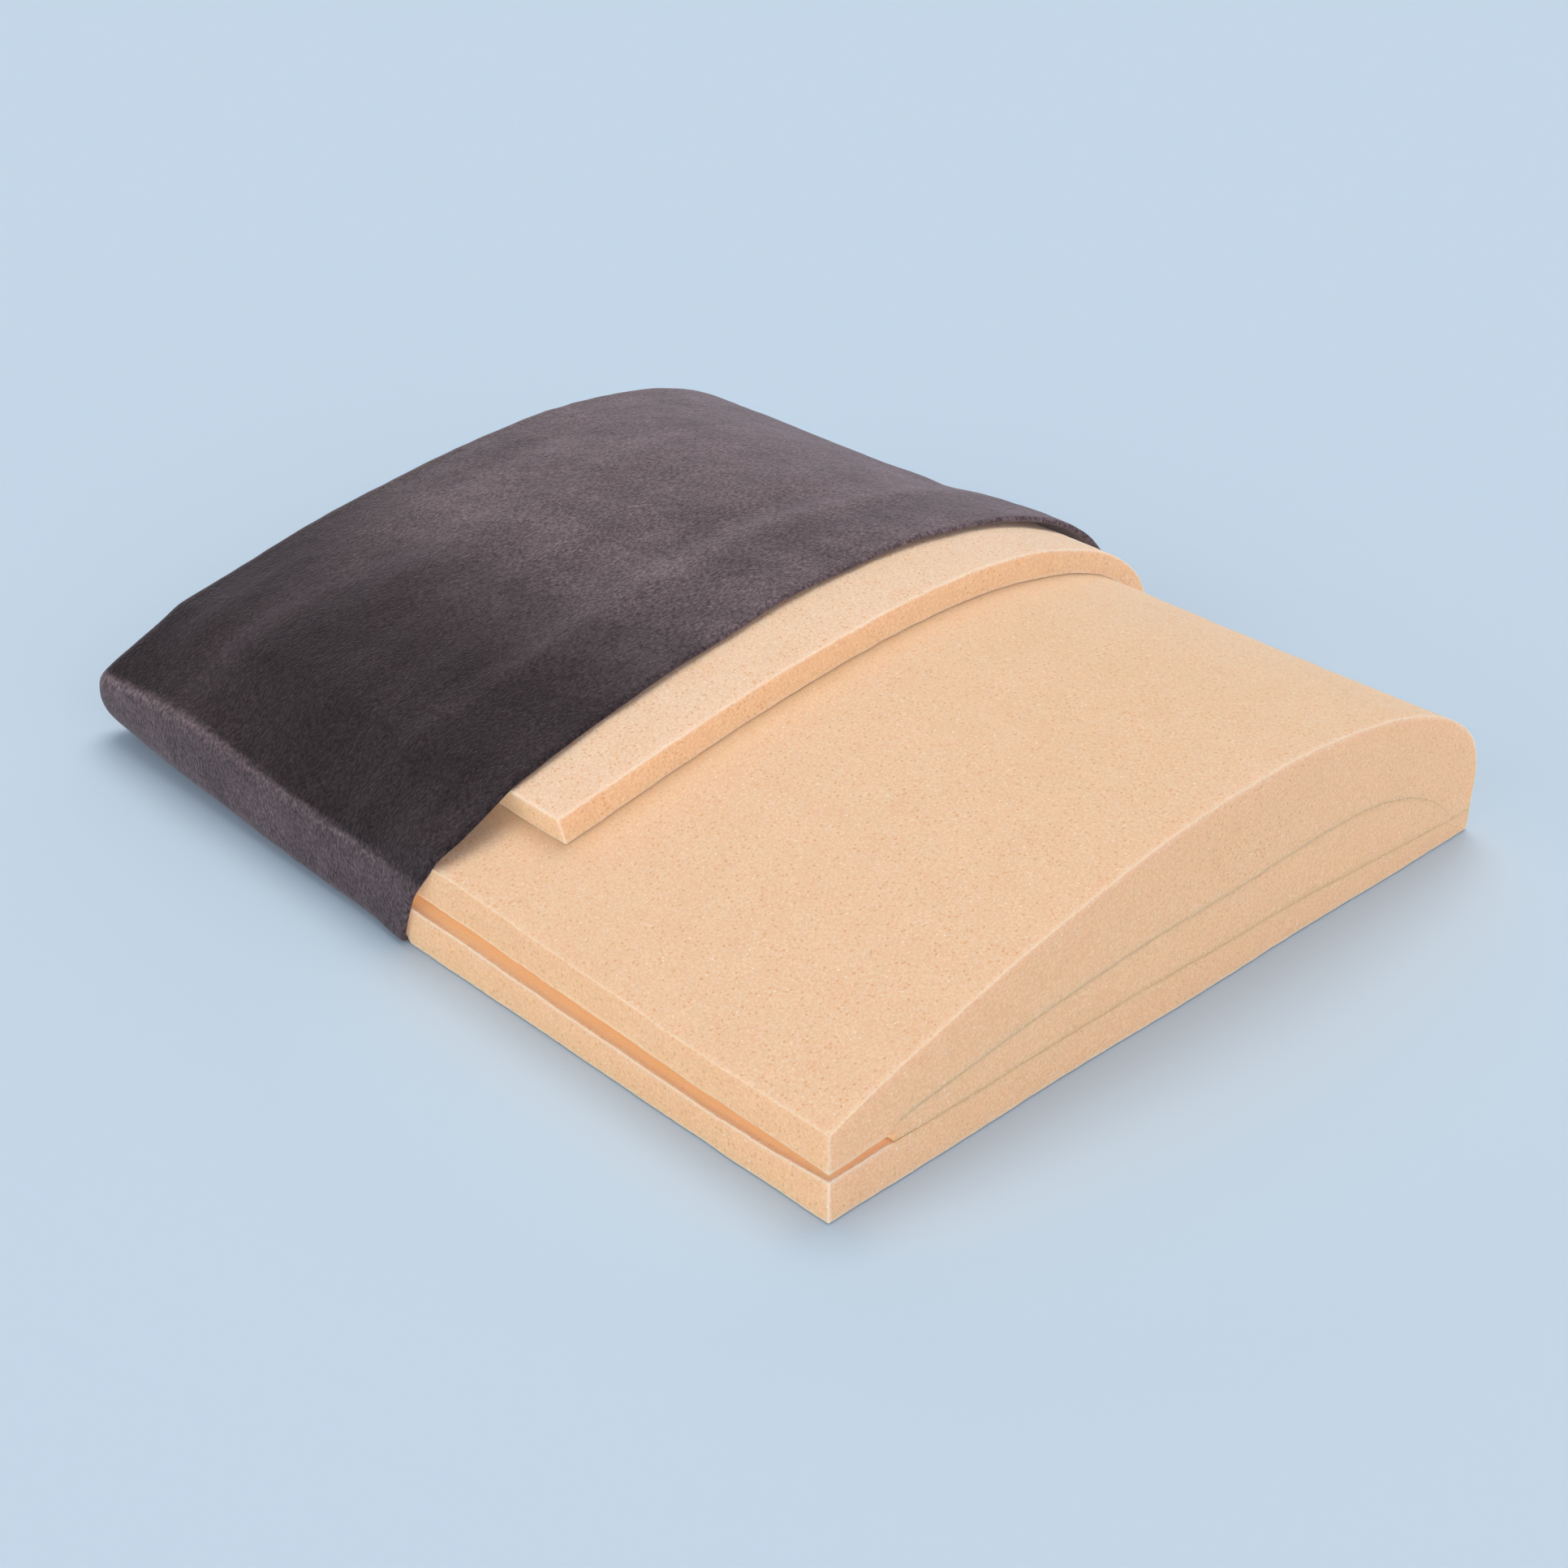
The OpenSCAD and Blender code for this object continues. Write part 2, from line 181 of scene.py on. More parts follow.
def base_top_edge(s):
    """Height of the base sheet's top along the open slit."""
    return table(s, (0, 18.2), (29, 16), (63, 15.4), (118, 16.6), (180, 17.9), (250, 18.8), (CORE_L, 19))


def base_out(s):
    """How far the base sheet's thin edge stands proud of the block's."""
    return table(s, (0, 0), (118, 1.9), (230, 3.0), (250, 3.1), (256, 2.2), (300, 1.6), (CORE_L, 1))


NEAR_OUT = -5.6


def foot_round(s):
    """Radius of the cover's near lower edge: pressed square by the floor at the mouth, plump behind."""
    return table(s, (220, 2.5), (252, 2.5), (272, 5), (320, 6.5), (378, 11), (442, 17), (486, 23),
                 (COVER_END, 24))


def near_out(s):
    """Where the cover's near side stands. Its foot flares a little at the mouth."""
    return NEAR_OUT - 1.3 * (1 - smooth_step(s, 250, 276))


def end_corner(s, radius):
    """How far a rounded corner at the covered end has turned in."""
    into = np.clip(s - (CORE_L - radius), 0, radius)
    return radius - np.sqrt(radius ** 2 - into ** 2)


def core_near(s):
    """The thin edge of the core, straight but for its rounded corner in the cover."""
    return end_corner(s, 14)


def core_far(s):
    """Where the core's thick edge lies at s."""
    return CORE_W - end_corner(s, 16)


def core_top(y, s):
    """The core's top surface over y, with its thin edge raised or held down."""
    z = np.interp(y, TOP_CURVE[:-1, 0], TOP_CURVE[:-1, 1])
    blend = 1 - smooth_step(y, 0, 70)
    return z + (lip_top(s) - THIN_H) * blend - end_corner(s, 8) * smooth_step(z, 20, 60)


# ---- meshes ----

def new_object(name, mesh, smooth=True):
    piece = bpy.data.objects.new(name, mesh)
    bpy.context.scene.collection.objects.link(piece)
    if smooth:
        mesh.polygons.foreach_set("use_smooth", [True] * len(mesh.polygons))
    return piece


def grid_faces(rows, cols, start=0, wrap_rows=False, wrap_cols=False):
    """Quads that join a grid of points, row by row."""
    i = np.arange(rows if wrap_rows else rows - 1)[:, None]
    j = np.arange(cols if wrap_cols else cols - 1)[None, :]
    i2 = (i + 1) % rows
    j2 = (j + 1) % cols
    quads = np.stack([i * cols + j, i * cols + j2, i2 * cols + j2, i2 * cols + j], axis=-1)
    return quads.reshape(-1, 4) + start


def mesh_from_grids(name, grids):
    """One mesh from (rows, cols, 3) grids of local points, welded where they meet."""
    points = []
    faces = []
    start = 0
    for grid, flip in grids:
        rows, cols = grid.shape[:2]
        quads = grid_faces(rows, cols, start)
        faces.append(quads[:, ::-1] if flip else quads)
        points.append(placed(grid).reshape(-1, 3))
        start += rows * cols
    mesh = bpy.data.meshes.new(name)
    mesh.from_pydata(np.concatenate(points).tolist(), [], np.concatenate(faces).tolist())
    bm = bmesh.new()
    bm.from_mesh(mesh)
    bmesh.ops.remove_doubles(bm, verts=bm.verts, dist=1e-6)
    bmesh.ops.recalc_face_normals(bm, faces=bm.faces)
    bm.to_mesh(mesh)
    bm.free()
    return mesh


def weigh_sharp_edges(mesh, weight_of, limit=40):
    """Sets the bevel weight of every sharp edge from its middle, in local millimetres."""
    bm = bmesh.new()
    bm.from_mesh(mesh)
    layer = bm.edges.layers.float.new("bevel_weight_edge")
    for edge in bm.edges:
        if len(edge.link_faces) == 2 and edge.calc_face_angle(0) > math.radians(limit):
            middle = (edge.verts[0].co + edge.verts[1].co) / 2 / MM
            edge[layer] = weight_of(BARE_X - middle.x, middle.y - THIN_Y, middle.z)
    bm.to_mesh(mesh)
    bm.free()


def applied(piece):
    """Applies every modifier of a piece."""
    shape = piece.evaluated_get(bpy.context.evaluated_depsgraph_get())
    mesh = bpy.data.meshes.new_from_object(shape)
    piece.modifiers.clear()
    piece.data = mesh
    return piece


def bevel(piece, width, segments=2, by_weight=True):
    mod = piece.modifiers.new("round", "BEVEL")
    mod.width = width * MM
    mod.segments = segments
    mod.limit_method = "WEIGHT" if by_weight else "ANGLE"
    mod.angle_limit = math.radians(40)
    mod.use_clamp_overlap = True
    mod.harden_normals = False


def coordinates(mesh):
    """A mesh's vertices, in millimetres."""
    flat = np.empty(len(mesh.vertices) * 3)
    mesh.vertices.foreach_get("co", flat)
    return flat.reshape(-1, 3) / MM


def drift(points, wavelength, size, seed):
    """A gentle vector field in millimetres, so that pieces that touch move together."""
    return np.stack([ripple(points, wavelength, size, seed + axis) for axis in range(3)], axis=-1)


def weigh_faces(piece):
    """Keeps broad faces flat-shaded beside their rounded edges."""
    mod = piece.modifiers.new("normals", "WEIGHTED_NORMAL")
    mod.weight = 80
    mod.keep_sharp = False
    applied(piece)


# ---- foam ----

FOAM_STEP = 3.0


def slab(name, stations, section, layers):
    """A closed block lofted along s. section(s) gives its lower and upper (y, z) lines."""
    lows = []
    highs = []
    for s in stations:
        lower, upper = section(s)
        lead = np.full((len(lower), 1), s)
        lows.append(np.hstack([lead, lower]))
        highs.append(np.hstack([lead, upper]))
    lows = np.array(lows)
    highs = np.array(highs)
    v = np.linspace(0, 1, layers + 1)[None, :, None]
    near = lows[:, 0][:, None] * (1 - v) + highs[:, 0][:, None] * v
    far = lows[:, -1][:, None] * (1 - v) + highs[:, -1][:, None] * v
    bare = lows[0][:, None] * (1 - v) + highs[0][:, None] * v
    back = lows[-1][:, None] * (1 - v) + highs[-1][:, None] * v
    return mesh_from_grids(name, [
        (lows, False), (highs, True), (near, True), (far, False), (bare, True), (back, False)
    ])


def slit_painted_glow(place):
    """How deep a local point lies in the open slit along the thin edge, 0 to 1, which sets the painted glow
    there.
    """
    s, y, z = place
    inside = min(y - core_near(s) + base_out(s), s, NOSE_Y + 2 - y)
    open_height = base_top_edge(s) - 1.2 < z < lip_bottom(s) + 1.2 + 0.06 * max(0, y)
    return float(smooth_step(inside, 0.2, 4.5)) if open_height else 0.0


def topper_shade(place):
    """How much of the topper's warm shade falls on a local point of the block, 0 to 1."""
    s, y, z = place
    ahead = TOPPER_START + topper_bow(y / CORE_W) - s
    away = math.hypot(max(0.0, ahead), max(0.0, TOPPER_Y - y))
    return math.exp(-away / SHADE_REACH) if z > THIN_H - 3 else 0.0


def mark_edges(mesh, weight_of, under_topper):
    """Paints the attributes that the foam's material reads: edges for the painted edge highlight and the bond
    lines, slit depth for the painted glow, flanks for the painted side light, and the painted shade beside
    the topper.
    """
    bm = bmesh.new()
    bm.from_mesh(mesh)
    cut = bm.verts.layers.float.new("cut_edge")
    bond = bm.verts.layers.float.new("bond_edge")
    deep = bm.verts.layers.float.new("slit_painted_glow")
    painted_side_light = bm.verts.layers.float.new("painted_side_light")
    shade = bm.verts.layers.float.new("topper_shade")
    for vert in bm.verts:
        folds = [edge.calc_face_angle(0) for edge in vert.link_edges if len(edge.link_faces) == 2]
        bend = max(folds, default=0)
        place = (BARE_X - vert.co.x / MM, vert.co.y / MM - THIN_Y, vert.co.z / MM)
        vert[cut if weight_of(*place) > 0.5 else bond] = min(1, bend / 0.4)
        # Depth in the slit, which sets the painted glow there.
        vert[deep] = slit_painted_glow(place)
        vert[shade] = topper_shade(place) if under_topper else 0.0
        # Painted light: how upright the face is, for the warmer side tone.
        vert[painted_side_light] = max(0.0, min(1.0, 1.25 - 1.6 * abs(vert.normal.z)))
    bm.to_mesh(mesh)
    bm.free()


def foam_piece(name, mesh, weight_of, width):
    """Rounds a foam block's cut edges and takes the perfect flatness off its faces."""
    weigh_sharp_edges(mesh, weight_of)
    piece = new_object(name, mesh)
    bevel(piece, width, 3)
    applied(piece)
    mesh = piece.data
    mark_edges(mesh, weight_of, name == "contour_block_foam")
    co = coordinates(mesh)
    move = drift(co, 110, 0.22, 11) + drift(co, 22, 0.07, 21) + drift(co, 6, 0.05, 31)
    move[:, 2] *= smooth_step(co[:, 2], 0, 6)
    mesh.vertices.foreach_set("co", ((co + move) * MM).ravel())
    mesh.update()
    weigh_faces(piece)
    return piece


def core_stations(start=0.0, end=CORE_L):
    """Evenly spaced places along the core where its section is drawn."""
    return np.linspace(start, end, int((end - start) / FOAM_STEP) + 1)


def spread(lo, hi, count):
    return np.linspace(lo, hi, count)


def underside_z(s):
    """The foam's underside: on the floor where bare, on the fabric where covered."""
    return table(s, (249, 0), (254, 3.2), (CORE_L, 3.2))


def base_section(s):
    """Lower and upper lines of the base sheet's section at s."""
    lo = core_near(s) - base_out(s)
    y = np.concatenate([spread(lo, lo + 14, 10)[:-1], spread(lo + 14, core_far(s), 122)])
    z = np.interp(y, DIP[:, 0], DIP[:, 1])
    z += (base_top_edge(s) - BASE_T) * (1 - smooth_step(y, 8, 60))
    radius = np.clip(foot_round(s) - 2, 0.01, 12) * smooth_step(s, 252, 270) + 0.01
    into = np.clip(radius - (y - lo), 0, radius)
    low = underside_z(s) + radius - np.sqrt(radius ** 2 - into ** 2)
    return np.stack([y, low], 1), np.stack([y, z], 1)


def make_base():
    mesh = slab("base_sheet_foam", core_stations(), base_section, 7)

    def weight(s, y, z):
        bonded = y > NOSE_Y and z > 4
        return 0.25 if bonded else 1.0
    return foam_piece("base_sheet_foam", mesh, weight, 1.1)


def wedge_section(s):
    """Lower and upper lines of the wedge's section at s."""
    lo = NOSE_Y + core_near(s) * 0.5
    y = spread(lo, HEEL_Y - end_corner(s, 16), 110)
    low = np.interp(y, DIP[:, 0], DIP[:, 1]) + 0.05
    inner = NOSE_Y + (y - lo) * (HEEL_Y - NOSE_Y) / (y[-1] - lo)
    high = np.interp(inner, WEDGE_TOP[:, 0], WEDGE_TOP[:, 1])
    return np.stack([y, low], 1), np.stack([y, np.maximum(high, low + 0.3)], 1)


def make_wedge():
    mesh = slab("wedge_foam", core_stations(), wedge_section, 6)
    return foam_piece("wedge_foam", mesh, lambda s, y, z: 0.25, 1.0)


def block_floor(y, s):
    """The block's underside: the slit's roof, a notch at the nose, then the wedge's top."""
    roof = lip_bottom(s) + (23 - lip_bottom(s)) * smooth_step(y, 4, NOSE_Y - 2)
    on_wedge = np.interp(y, WEDGE_TOP[:, 0], WEDGE_TOP[:, 1]) + 0.05
    on_base = np.interp(y, DIP[:, 0], DIP[:, 1]) + 0.05
    floor = np.where(y > NOSE_Y + 2, on_wedge, roof)
    return np.where(y > HEEL_Y, on_base, floor)


def block_section(s):
    """Lower and upper lines of the contour block's section at s."""
    lo = core_near(s)
    line = TOP_CURVE.copy()
    y = lo + line[:, 0] * (core_far(s) - lo) / CORE_W
    z = core_top(y, s)
    z[-1] = WALL_H
    even = along(np.stack([y, z], 1), 190)
    under = block_floor(even[:, 0], s)
    under = np.where(even[:, 0] > core_far(s) - 0.3, BASE_FAR_T + 0.05, under)
    return np.stack([even[:, 0], under], 1), even


def make_block():
    mesh = slab("contour_block_foam", core_stations(), block_section, 14)

    def weight(s, y, z):
        bonded = y > NOSE_Y - 4 and z < np.interp(y, WEDGE_TOP[:, 0], WEDGE_TOP[:, 1]) + 3
        return 0.3 if bonded else 1.0
    return foam_piece("contour_block_foam", mesh, weight, 1.2)


TOPPER_T = 14
TOPPER_Y = 40
TOPPER_START = BARE_X - TOPPER_HIGH[0]
SHADE_REACH = 7


def topper_bow(across):
    """How far the topper's cut end curves back from straight, across the core."""
    return 4 - 10 * (1 - (2 * across - 1.05) ** 2)


def topper_section(s):
    """Lower and upper lines of the topper at s, both square to the core's surface."""
    keep = TOP_CURVE[:, 0] >= TOPPER_Y
    y = TOP_CURVE[keep, 0]
    z = core_top(y, s)
    z[-1] = WALL_H
    foot = [[CORE_W, 25], [CORE_W, 22]]
    line = along(np.concatenate([np.stack([y, z], 1), foot]), 190)
    way = np.gradient(line, axis=0)
    way /= np.linalg.norm(way, axis=1)[:, None]
    out = np.stack([-way[:, 1], way[:, 0]], 1)
    under_cover = cover_lift(line[:, 0], s) - HEM_T - 0.6
    far = smooth_step(line[:, 0], 300, 392)
    thick = np.minimum(TOPPER_T - 3.2 * far, under_cover)
    return line + out * 0.15, line + out * thick[:, None]


def make_topper():
    mesh = slab("topper_foam", core_stations(TOPPER_START, TOPPER_END), topper_section, 5)
    co = coordinates(mesh)
    s = BARE_X - co[:, 0]
    across = (co[:, 1] - THIN_Y) / CORE_W
    bow = (1 - smooth_step(s, TOPPER_START, TOPPER_START + 60)) * topper_bow(across)
    co[:, 0] -= bow
    mesh.vertices.foreach_set("co", (co * MM).ravel())
    return foam_piece("topper_foam", mesh, lambda s, y, z: 1.0, 1.3)


# ---- cover ----

GIRTH_POINTS = 400
CLOTH_T = 1.4
HEM_T = 2.8
TOP_ROUND = 10
END_SWELL = 6.0
END_LIP = 6.0


def cover_lift(y, s):
    """Height of the cover over the core's curve."""
    ridge = table(s, (227, 18.2), (250, 17.8), (270, 17), (286, 16.4), (302, 15.2), (400, 13.2), (460, 10),
                  (480, 8.0), (COVER_END, 6.5))
    shoulder = table(s, (227, 17.4), (250, 17.6), (268, 16.6), (286, 13.6), (304, 11.4), (COVER_END, 10.4))
    far = smooth_step(y, 280, 385)
    sag = table(y, (40, 0), (80, 2.6), (164, 4.8), (240, 3.4), (289, 0.8), (330, 0))
    sag = sag * smooth_step(s, 380, 484)
    return ridge * (1 - far) + shoulder * far - sag


def turn_height(s):
    """Where the upright near side bends inwards."""
    return table(s, (227, 33.7), (264, 33.5), (305, 33.4), (358, 35.5), (410, 39), (445, 37.6), (471, 35.4),
                 (COVER_END, 34))


def shoulder_height(s):
    """Height of the cover where it passes over the thin edge."""
    return table(s, (227, 48.5), (255, 46.5), (275, 42.5), (300, 40), (340, 39.5), (410, 41.5), (470, 39.5),
                 (COVER_END, 39))


def cover_outline(s):
    """The closed outline of the cover at s, as (y, z) points, from the far foot round."""
    curve = TOP_CURVE[TOP_CURVE[:, 0] > TOPPER_Y]
    way = np.gradient(curve, axis=0)
    way /= np.linalg.norm(way, axis=1)[:, None]
    over = curve + np.stack([-way[:, 1], way[:, 0]], 1) * cover_lift(curve[:, 0], s)[:, None]
    wall = over[-1][0]
    radius = foot_round(s)
    turn = np.linspace(0, math.pi / 2, 10)
    out = near_out(s)
    foot = np.stack([out + radius * (1 - np.sin(turn)), radius * (1 - np.cos(turn))], 1)
    bend = turn_height(s)
    top = max(shoulder_height(s), bend + 2.5)
    side = [[NEAR_OUT + 0.1, bend - 4], [NEAR_OUT + 0.9, bend], [NEAR_OUT + 5.5, top]]
    far_radius = table(s, (220, 2), (400, 5), (COVER_END, 13))
    far_out = CORE_W + 3 + cover_lift(CORE_W, s) * 0.25
    far_foot = np.stack([far_out - far_radius * (1 - np.cos(turn)), far_radius * (1 - np.sin(turn))], 1)
    loop = np.concatenate([far_foot, foot, side, over, [[wall, 14]]])
    closed = along(np.concatenate([loop, loop[:1]]), 1001)[:-1]
    return softened(closed, 9)


def softened(loop, passes):
    """Rounds the corners of a closed outline of even points."""
    for _ in range(passes):
        loop = (np.roll(loop, 1, 0) + 2 * loop + np.roll(loop, -1, 0)) / 4
    return loop


def girth(loop):
    """Even points round a closed outline, from the middle of its underside."""
    start = np.argmin(np.hypot(loop[:, 0] - CORE_W / 2, loop[:, 1]))
    turned = np.roll(loop, -start, axis=0)
    turned[0] = [CORE_W / 2, 0]
    return along(np.concatenate([turned, turned[:1]]), GIRTH_POINTS + 1)[:-1]


OUTLINE_S = np.linspace(MOUTH - 8, COVER_END, 60)
OUTLINES = np.array([girth(cover_outline(s)) for s in OUTLINE_S])


def on_cover(u, s):
    """Points of the cover's outer face for girth columns u at stations s."""
    at = np.clip((s - OUTLINE_S[0]) / (OUTLINE_S[1] - OUTLINE_S[0]), 0, len(OUTLINE_S) - 1.001)
    k = at.astype(int)
    part = (at - k)[..., None]
    yz = OUTLINES[k, u] * (1 - part) + OUTLINES[k + 1, u] * part
    return np.concatenate([s[..., None], yz], axis=-1)


def mouth_line(y, z):
    """Where the mouth's edge lies along s, slanting back at both sides."""
    near = table(z, (0, 252), (16, 248.5), (28, 243), (37, 237.5), (46, 233), (56, 229.5), (66, MOUTH + 0.5))
    far = table(z, (0, 248), (20, 232), (40, MOUTH))
    under = table(y, (0, 253), (CORE_W, 248))
    side = np.where(y < CORE_W / 2, near, far)
    return np.where(z < 3, under, np.where((z < 90) & (y < 60) | (y > 340), side, MOUTH))


def folds(points):
    """Broad soft folds and puckers of the fabric, as heights in millimetres."""
    s, y, z = points[..., 0], points[..., 1], points[..., 2]
    top = smooth_step(z, 30, 55)
    bend = 5 * np.sin(y / 70) + 3 * np.sin(y / 31 + 1)
    ridge = np.exp(-((s - 284 - bend) / 7) ** 2)
    dip = np.exp(-((s - 262 - bend) / 12) ** 2)
    second = np.exp(-((s - 330 - 2 * bend) / 16) ** 2) * smooth_step(y, 60, 200)
    third = np.exp(-((s - 395 + 1.5 * bend) / 20) ** 2) * (1 - smooth_step(y, 180, 300))
    height = top * (0.5 * ridge - 0.45 * dip + 0.35 * second + 0.35 * third)
    height += ripple(points * [1.0, 0.3, 0.3], 40, 0.22, 51) * top * (1 - smooth_step(y, 230, 300))
    height += ripple(points, 80, 0.15, 52)
    height += ripple(points, 16, 0.06, 53)
    return height


def painted_sheen(points):
    """Painted sheen and shade on the velour, 0 to 1: lighter up the near side, a painted highlight along its
    edge and the folds, lighter towards the far side, with a random mottle.
    """
    s, y, z = points[..., 0], points[..., 1], points[..., 2]
    turn = turn_height(s) + 0.5
    near = 1 - smooth_step(y, 8, 16)
    side = (1 - smooth_step(z, turn - 0.5, turn + 2.5)) * near
    line = np.exp(-((z - turn) / 1.5) ** 2) * near * smooth_step(s, 246, 275)
    bend = 5 * np.sin(y / 70) + 3 * np.sin(y / 31 + 1)
    ridge = np.exp(-((s - 286 - bend) / 8) ** 2) * smooth_step(y, 30, 110)
    band = np.exp(-((s - 420 - 2 * bend) / 14) ** 2) * np.exp(-((y - 90) / 60) ** 2)
    fade = 1 - 0.55 * smooth_step(s, 430, 490) * (1 - smooth_step(y, 120, 320))
    dip = np.exp(-((s - 262 - bend) / 15) ** 2) * smooth_step(y, 60, 200)
    # Painted sheen: the colour grows lighter towards the far side, where the pile catches the light at a
    # grazing angle.
    rise = smooth_step(y, 70, 180) * 0.44 + smooth_step(y, 180, 345) * 0.02
    top = (0.04 + rise) * fade * (1 - 0.30 * dip) + 0.05 * ridge + 0.08 * band
    mottle = 1 + ripple(points, 34, 0.09, 71) + ripple(points, 11, 0.05, 72)
    return np.clip((top * (1 - side) + 0.31 * side + 0.22 * line) * mottle, 0, 1)


def lay_painted_sheen(piece, values):
    """Stores the painted sheen and shade at every point of a velour piece."""
    piece.data.attributes.new("painted_sheen", "FLOAT", "POINT").data.foreach_set("value", values)
    return piece


def row_normals(grid):
    """Outward normals of a grid that closes on itself along its columns."""
    along_u = np.roll(grid, -1, axis=1) - np.roll(grid, 1, axis=1)
    along_v = np.gradient(grid, axis=0)
    n = np.cross(along_u, along_v)
    n /= np.maximum(np.linalg.norm(n, axis=-1, keepdims=True), 1e-9)
    centre = np.array([0, CORE_W / 2, 30])
    outward = np.sum(n * (grid - centre) * [0, 1, 1], axis=-1).mean()
    return n if outward > 0 else -n


def outer_face():
    """The cover's outer face, from its mouth to the seam on the closed end."""
    u = np.arange(GIRTH_POINTS)
    edge = on_cover(u, np.full(GIRTH_POINTS, MOUTH + 10.0))
    mouth = mouth_line(edge[:, 1], edge[:, 2])
    for _ in range(8):
        mouth = (np.roll(mouth, 1) + 2 * mouth + np.roll(mouth, -1)) / 4
    mouth += ripple(edge * [0, 1, 1], 60, 0.5, 54)
    straight_end = COVER_END - TOP_ROUND
    t = np.linspace(0, 1, 92)[:, None]
    s = mouth * (1 - t) + straight_end * t
    body = on_cover(np.broadcast_to(u, s.shape), s)
    heights = np.interp(body[-1, :, 1], TOP_CURVE[:-1, 0], TOP_CURVE[:-1, 1]) + 6
    level = np.clip(body[..., 2] / heights, 0, 1)
    swell = END_SWELL * np.sin(math.pi * level) * (1 - 0.75 * smooth_step(body[-1, :, 1], 300, 400))
    body[..., 0] += swell * smooth_step(body[..., 0], COVER_END - 60, COVER_END)
    turns = []
    for angle in np.linspace(0, math.pi / 2, 9)[1:]:
        turned = body[-1].copy()
        turned[:, 0] += TOP_ROUND * math.sin(angle) + swell[-1] * math.sin(angle) * 0.2
        into = 1 - math.cos(angle)
        turns.append(drawn_in(turned, into, heights))
    lip = turns[-1].copy()
    lip = drawn_in(lip, END_LIP / TOP_ROUND * 0.9, heights)
    lip[:, 0] += 0.6
    return np.concatenate([body, np.array(turns), lip[None]])


def drawn_in(ring, share, heights):
    """A ring pulled towards the middle of the closed end by a share of its rounding."""
    y = CORE_W / 2 + (ring[:, 1] - CORE_W / 2) * (1 - 0.45 * TOP_ROUND * share / (CORE_W / 2))
    level = np.clip(ring[:, 2] / heights, 0, 1)
    z = ring[:, 2] - level * 0.8 * TOP_ROUND * share + (1 - level) * 3 * share
    return np.stack([ring[:, 0], y, z], axis=-1)


def make_sleeve():
    """One continuous sleeve: outer face, rolled mouth, turned-in band, inner face."""
    outer = outer_face()
    outer = outer + row_normals(outer) * folds(outer)[..., None]
    outer[..., 2] = np.maximum(outer[..., 2], 0.0)
    n = row_normals(outer)
    depth = np.where(outer[..., 0] < HEM_END, HEM_T, CLOTH_T)
    inner = outer - n * depth[..., None]
    back = outer[1] - outer[0]
    back /= np.linalg.norm(back, axis=-1, keepdims=True)
    roll = []
    for angle in np.linspace(0, math.pi, 8)[1:-1]:
        radius = HEM_T / 2
        roll.append(outer[0] - back * radius * math.sin(angle) - n[0] * radius * (1 - math.cos(angle)))
    rings = np.concatenate([outer[::-1], np.array(roll), inner])
    points = placed(rings).reshape(-1, 3)
    faces = grid_faces(len(rings), GIRTH_POINTS, wrap_rows=True, wrap_cols=True)
    mesh = bpy.data.meshes.new("cover_sleeve")
    mesh.from_pydata(points.tolist(), [], faces.tolist())
    bm = bmesh.new()
    bm.from_mesh(mesh)
    bmesh.ops.recalc_face_normals(bm, faces=bm.faces)
    bm.to_mesh(mesh)
    bm.free()
    return lay_painted_sheen(new_object("cover_sleeve", mesh), painted_sheen(rings).ravel()), outer[-1]


# ---- closed end ----

SLOT_HALF = 5
ZIP_NEAR = 40
ZIP_FAR = 373


def cloth_between(name, front, rear):
    """A closed thin sheet between two grids of local points."""
    sides = [np.stack([front[0], rear[0]]), np.stack([front[-1], rear[-1]]),
             np.stack([front[:, 0], rear[:, 0]]), np.stack([front[:, -1], rear[:, -1]])]
    mesh = mesh_from_grids(name, [(front, True), (rear, False)] + [(side, True) for side in sides])
    return new_object(name, mesh)


def end_panel(name, ring, upper):
    """The fabric of the closed end above or below the zip, filling the sleeve's seam line."""
    y_lo = ring[:, 1].min() + 0.4
    y_hi = ring[:, 1].max() - 0.4
    y = np.linspace(y_lo, y_hi, 150)
    order = np.argsort(ring[:, 1])
    middle = 16.0
    over = ring[order][ring[order][:, 2] > middle]
    under = ring[order][ring[order][:, 2] <= middle]
    top = np.interp(y, over[:, 1], over[:, 2])
    bottom = np.interp(y, under[:, 1], under[:, 2])
    top_s = np.interp(y, over[:, 1], over[:, 0])
    bottom_s = np.interp(y, under[:, 1], under[:, 0])
    gape = SLOT_HALF * smooth_step(y, ZIP_NEAR - 6, ZIP_NEAR) * (1 - smooth_step(y, ZIP_FAR, ZIP_FAR + 6))
    lo = ZIP_Z + gape + 0.15 if upper else bottom + 0.3
    hi = top - 0.3 if upper else ZIP_Z - gape - 0.15
    hi = np.maximum(hi, lo + 0.5)
    v = np.linspace(0, 1, 30 if upper else 12)[:, None]
    z = lo * (1 - v) + hi * v
    yy = np.broadcast_to(y, z.shape)
    puff = 2.2 if upper else 0.8
    width = np.sin(math.pi * np.clip((yy - y_lo) / (y_hi - y_lo), 0, 1)) ** 0.4
    level = np.clip((z - bottom) / np.maximum(top - bottom, 1), 0, 1)
    seam = bottom_s * (1 - level) + top_s * level
    s = seam - 0.8 + puff * np.sin(math.pi * v) ** 0.6 * width
    face = np.stack([s, yy, z], axis=-1)
    face[..., 0] += ripple(face, 40, 0.3, 61) * np.sin(math.pi * v)
    return cloth_between(name, face, face - [CLOTH_T, 0, 0])


# How far each tape reaches in behind its teeth, so that the two nearly meet
TAPE_LAP = 2.15


